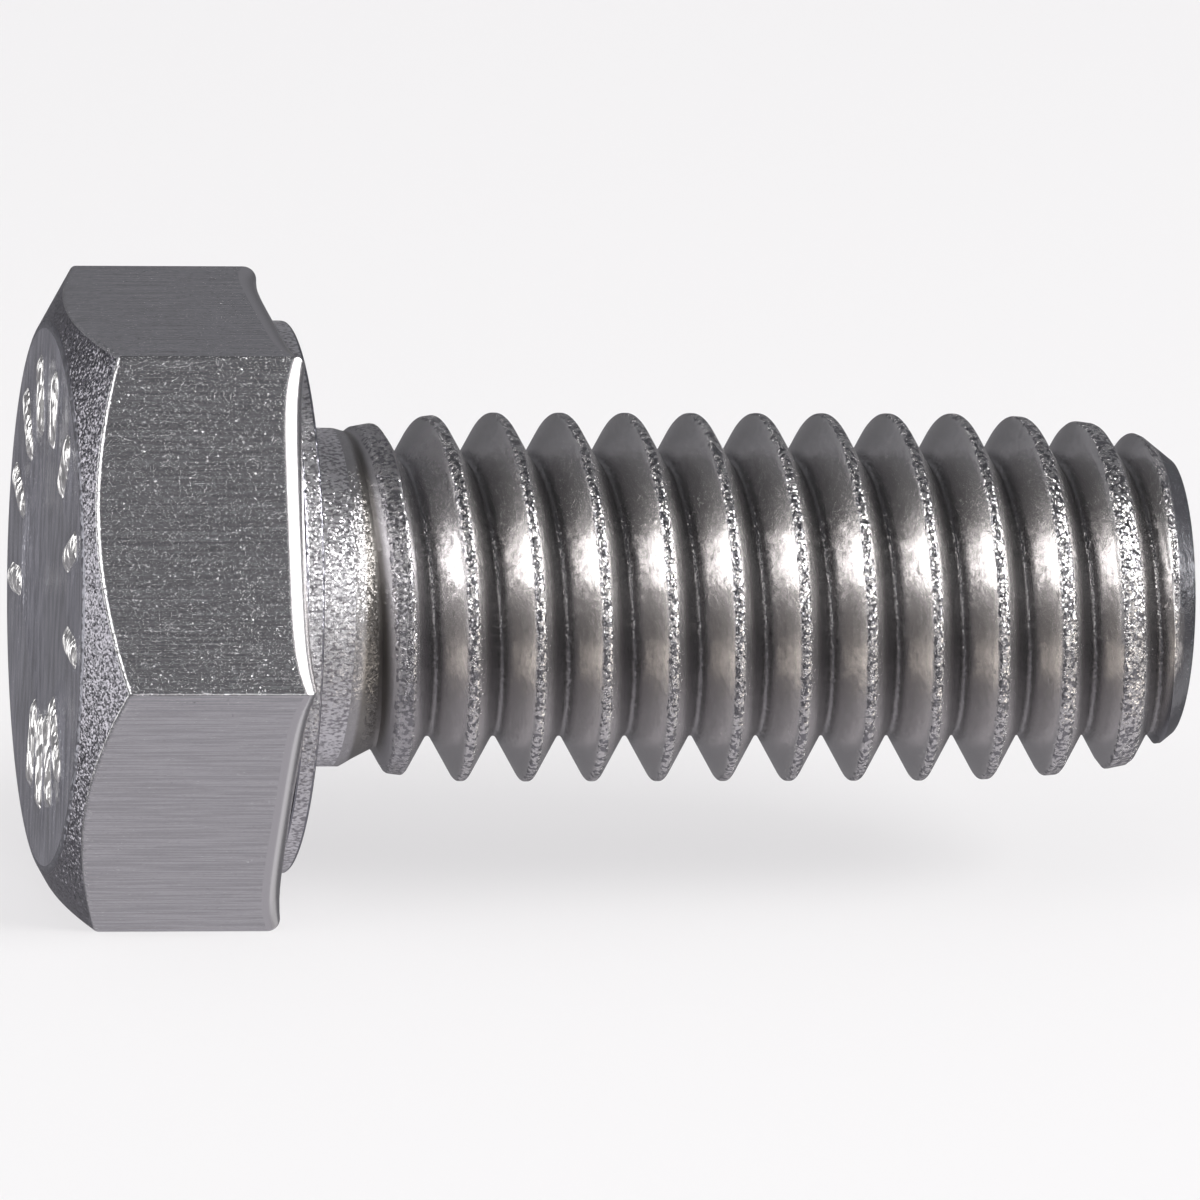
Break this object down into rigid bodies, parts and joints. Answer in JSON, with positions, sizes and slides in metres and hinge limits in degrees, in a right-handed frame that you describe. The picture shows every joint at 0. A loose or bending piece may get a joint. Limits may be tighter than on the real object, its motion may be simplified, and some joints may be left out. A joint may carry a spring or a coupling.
{
  "type": "hex bolt",
  "caption": "Short stainless steel hex-head bolt, threaded up to the head, with a chamfered hexagon, a washer face and a tapered point.",
  "frame": {"origin": "centre of the bearing face under the head, on the bolt's axis", "axes": "+X along the bolt's axis from the head's bearing face to the point; +Z square to one pair of wrench flats, so the bolt lies level on a head flat; +Y completes the right-handed frame, through two opposite head corners"},
  "size_m": [0.0243, 0.0144, 0.0126],
  "materials": {
    "stainless_steel": "bright stainless steel: head flats with fine lines along the axis, rolled thread smooth and shiny, chamfer and washer-face rim grainy"
  },
  "bodies": {
    "root": {"hex_bolt": "stainless_steel"}
  },
  "joints": []
}
